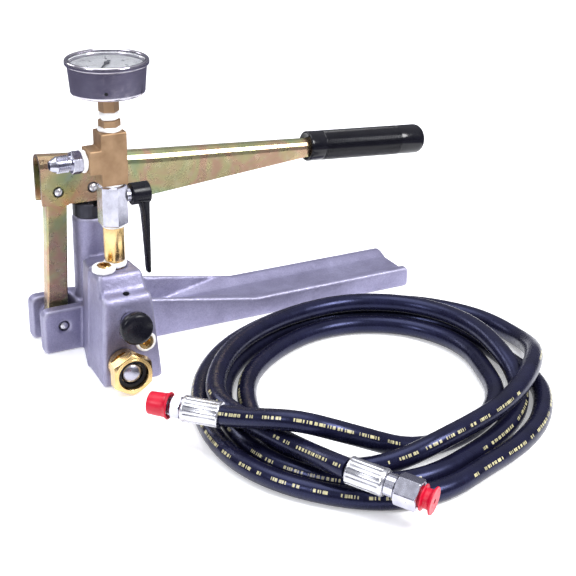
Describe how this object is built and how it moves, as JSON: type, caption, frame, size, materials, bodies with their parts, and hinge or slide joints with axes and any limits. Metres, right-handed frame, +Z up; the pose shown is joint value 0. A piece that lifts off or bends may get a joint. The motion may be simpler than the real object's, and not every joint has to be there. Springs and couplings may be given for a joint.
{
  "type": "hydraulic hand pump",
  "caption": "Bench-top hydraulic hand pump: lever and rocking link drive a plunger in a cast base with check valves, gauge, shut-off valve and a loose capped delivery hose.",
  "frame": {"origin": "on the underside of the cast base, near the foot of the plunger barrel, in the middle of the foot's width", "axes": "+X along the foot and the handle towards the grip, -Y towards the front of the pump block with the inlet, +Z up"},
  "size_m": [0.342, 0.3761, 0.2342],
  "materials": {
    "cast": "satin cast, bluish grey",
    "yellow_zinc": "yellow chromate zinc plate",
    "zinc": "bright zinc plate",
    "steel": "ground steel",
    "black_oxide": "black oxide steel",
    "stainless": "polished stainless",
    "brass": "machined brass",
    "tee_brass": "dull extruded brass",
    "black_plastic": "black moulded",
    "vinyl": "dipped black vinyl",
    "rubber": "moulded",
    "hose": "smooth blue-black cover",
    "red_plastic": "moulded",
    "white": "printed dial",
    "ptfe": "machined",
    "glass": "clear"
  },
  "bodies": {
    "pump_block": {"base_casting": "cast", "plunger_seal": "rubber", "gland_nut": "black_oxide", "link_base_pin": "zinc", "inlet_adapter": "brass", "inlet_washer": "rubber", "inlet_screen": "stainless", "suction_seat": "brass", "suction_spring": "stainless", "front_plug": "brass", "top_plug": "brass", "release_collar": "zinc", "release_seal": "rubber", "discharge_seat": "brass", "discharge_spring": "stainless", "nipple": "brass", "valve_body": "zinc", "valve_retainer": "brass", "valve_seat_lower": "ptfe", "valve_seat_upper": "ptfe", "valve_gland": "zinc", "tee": "tee_brass", "outlet_fitting": "zinc", "gauge_bushing": "tee_brass", "gauge_case": "stainless", "gauge_bezel": "stainless", "gauge_lens": "glass", "gauge_dial": "white", "gauge_socket": "tee_brass", "gauge_tube": "brass", "gauge_movement": "brass", "gauge_staff": "steel", "hose_tube": "hose", "ferrule_a": "zinc", "fitting_a": "zinc", "ferrule_b": "zinc", "fitting_b": "zinc"},
    "link": {"link_bar": "yellow_zinc", "handle_link_pin": "zinc"},
    "handle": {"handle_channel": "yellow_zinc", "handle_grip": "vinyl", "plunger_pin": "zinc"},
    "plunger_body": {"plunger": "steel"},
    "inlet_nut": {"inlet_swivel_nut": "brass"},
    "suction_valve": {"suction_ball": "stainless"},
    "discharge_valve": {"discharge_ball": "stainless"},
    "release_valve": {"release_needle": "steel", "release_knob": "black_plastic"},
    "shut_off": {"valve_lever": "black_plastic", "lever_screw": "zinc", "valve_stem": "zinc", "valve_ball": "stainless"},
    "pointer": {"gauge_pointer": "black_plastic"},
    "hose_nut": {"swivel_nut_b": "zinc"},
    "plug_b": {"cap_b": "red_plastic"},
    "plug_a": {"cap_a": "red_plastic"}
  },
  "joints": [
    {"name": "handle_lift", "type": "hinge", "parent": "link", "child": "handle", "pos_m": [-0.0237, 0.002, 0.1245], "axis": [0, -1, 0], "range_deg": [0, 41]},
    {"name": "link_swing", "type": "hinge", "parent": "pump_block", "child": "link", "pos_m": [-0.0285, 0.002, 0.021], "axis": [0, 1, 0], "range_deg": [0, 3.2]},
    {"name": "plunger_stroke", "type": "slide", "parent": "pump_block", "child": "plunger_body", "axis": [0, 0, 1], "range_m": [0, 0.0165]},
    {"name": "valve_turn", "type": "hinge", "parent": "pump_block", "child": "shut_off", "pos_m": [0, -0.0567, 0.1339], "axis": [-1, 0, 0], "range_deg": [0, 90]},
    {"name": "release_turn", "type": "hinge", "parent": "pump_block", "child": "release_valve", "pos_m": [-0.0024, -0.0866, 0.0506], "axis": [0, -1, 0], "range_deg": [0, 270]},
    {"name": "pointer_sweep", "type": "hinge", "parent": "pump_block", "child": "pointer", "pos_m": [0, -0.0567, 0.2298], "axis": [0, 0, -1], "range_deg": [0, 270], "stiffness_Nm_per_rad": 0.0001},
    {"name": "inlet_nut_spin", "type": "hinge", "parent": "pump_block", "child": "inlet_nut", "pos_m": [-0.0082, -0.1, 0.0174], "axis": [0, -1, 0], "continuous": true},
    {"name": "suction_lift", "type": "slide", "parent": "pump_block", "child": "suction_valve", "axis": [0, 1, 0], "range_m": [0, 0.002], "stiffness_N_per_m": 40, "deforming": ["suction_spring"]},
    {"name": "discharge_lift", "type": "slide", "parent": "pump_block", "child": "discharge_valve", "axis": [0, 0, 1], "range_m": [0, 0.002], "stiffness_N_per_m": 40, "deforming": ["discharge_spring"]},
    {"name": "hose_nut_spin", "type": "hinge", "parent": "pump_block", "child": "hose_nut", "pos_m": [0.0588, -0.2981, 0.027], "axis": [0.5731, -0.8145, -0.0905], "continuous": true},
    {"name": "plug_b_pull", "type": "slide", "parent": "hose_nut", "child": "plug_b", "axis": [0.5731, -0.8145, -0.0905], "range_m": [0, 0.02]},
    {"name": "cap_a_pull", "type": "slide", "parent": "pump_block", "child": "plug_a", "axis": [-0.7001, 0.7141, 0], "range_m": [0, 0.02]}
  ],
  "couplings": [
    {"joint": "link_swing", "follows": "handle_lift", "ratio": 0.0762},
    {"joint": "plunger_stroke", "follows": "handle_lift", "m_per_rad": 0.0226}
  ]
}
